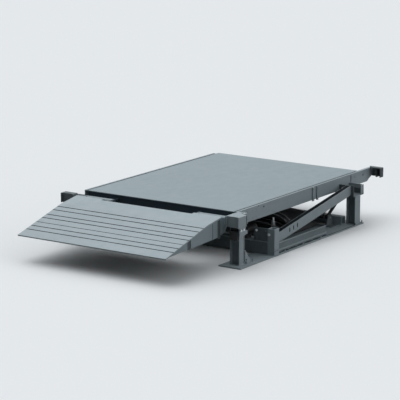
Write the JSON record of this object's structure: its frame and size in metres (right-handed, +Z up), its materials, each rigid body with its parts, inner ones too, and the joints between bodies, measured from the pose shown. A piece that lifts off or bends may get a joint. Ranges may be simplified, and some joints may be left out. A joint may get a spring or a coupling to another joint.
{
  "type": "dock leveler",
  "caption": "Loading dock leveler: a steel deck plate hinged at the rear of a standing frame, with a wedge-shaped hinged lip in front and an air bag under the deck.",
  "frame": {"origin": "centre of the bounding box at floor level", "axes": "+X across the deck to the side of the rear anchor bracket, +Y from the lip towards the rear hinge, +Z up"},
  "size_m": [2.388, 4.065, 0.538],
  "materials": {
    "frame_paint": "satin",
    "deck_paint": "satin",
    "rubber": "matte",
    "motor_black": "satin",
    "zinc_steel": "satin",
    "strut_black": "satin"
  },
  "bodies": {
    "frame": {"right_base_plate": "frame_paint", "left_base_plate": "frame_paint", "right_base_angle": "frame_paint", "left_base_angle": "frame_paint", "front_cross_beam": "frame_paint", "rear_cross_beam": "frame_paint", "right_front_post": "frame_paint", "left_front_post": "frame_paint", "right_front_head": "frame_paint", "left_front_head": "frame_paint", "post_clamp_plates": "frame_paint", "post_gussets": "frame_paint", "right_side_rail": "frame_paint", "left_side_rail": "frame_paint", "rail_doublers": "frame_paint", "rail_stiffeners": "frame_paint", "right_rear_anchor": "frame_paint", "right_rear_post": "frame_paint", "left_rear_post": "frame_paint", "right_rear_seat": "frame_paint", "left_rear_seat": "frame_paint", "right_brace": "frame_paint", "left_brace": "frame_paint", "right_brace_upright": "frame_paint", "left_brace_upright": "frame_paint", "rear_hinge_beam": "frame_paint", "frame_hinge_lugs": "frame_paint", "bag_tray": "frame_paint", "strut_feet": "frame_paint", "blower_plate": "frame_paint", "front_bumpers": "rubber", "air_bag": "rubber", "blower_motor": "motor_black", "stop_bolts": "zinc_steel", "strut_foot_pins": "zinc_steel"},
    "deck": {"deck_plate": "deck_paint", "deck_front_header": "deck_paint", "deck_rear_header": "deck_paint", "deck_beams": "deck_paint", "deck_side_beams": "deck_paint", "deck_hinge_lugs": "deck_paint", "deck_hinge_pins": "zinc_steel", "deck_lip_lugs": "deck_paint", "lip_hinge_pins": "zinc_steel", "strut_clevises": "deck_paint", "strut_top_pins": "zinc_steel"},
    "lip": {"lip_plate": "deck_paint", "right_lip_cheek": "deck_paint", "left_lip_cheek": "deck_paint", "lip_tip_cheeks": "deck_paint", "lip_ribs": "deck_paint", "lip_mid_ribs": "deck_paint", "lip_back_plate": "deck_paint", "lip_hinge_tubes": "deck_paint", "lip_front_stiffener": "deck_paint"},
    "strut_barrels": {"strut_barrels": "strut_black"},
    "strut_rods": {"strut_rods": "zinc_steel"}
  },
  "joints": [
    {"name": "deck_hinge", "type": "hinge", "parent": "frame", "child": "deck", "pos_m": [0, 1.75751, 0.46], "axis": [-1, 0, 0], "range_deg": [-2.5, 8]},
    {"name": "lip_hinge", "type": "hinge", "parent": "deck", "child": "lip", "pos_m": [0, -0.87749, 0.458], "axis": [-1, 0, 0], "range_deg": [-4, 14]},
    {"name": "strut_pivot", "type": "hinge", "parent": "frame", "child": "strut_barrels", "pos_m": [0, 1.13251, 0.1], "axis": [1, 0, 0], "range_deg": [-1.2, 3.2]},
    {"name": "strut_slide", "type": "slide", "parent": "strut_barrels", "child": "strut_rods", "axis": [0, 0.8575, 0.5145], "range_m": [-0.002, 0.006]}
  ],
  "couplings": [
    {"joint": "strut_pivot", "follows": "deck_hinge", "ratio": 0.3703},
    {"joint": "strut_slide", "follows": "deck_hinge", "m_per_rad": 0.0265}
  ]
}
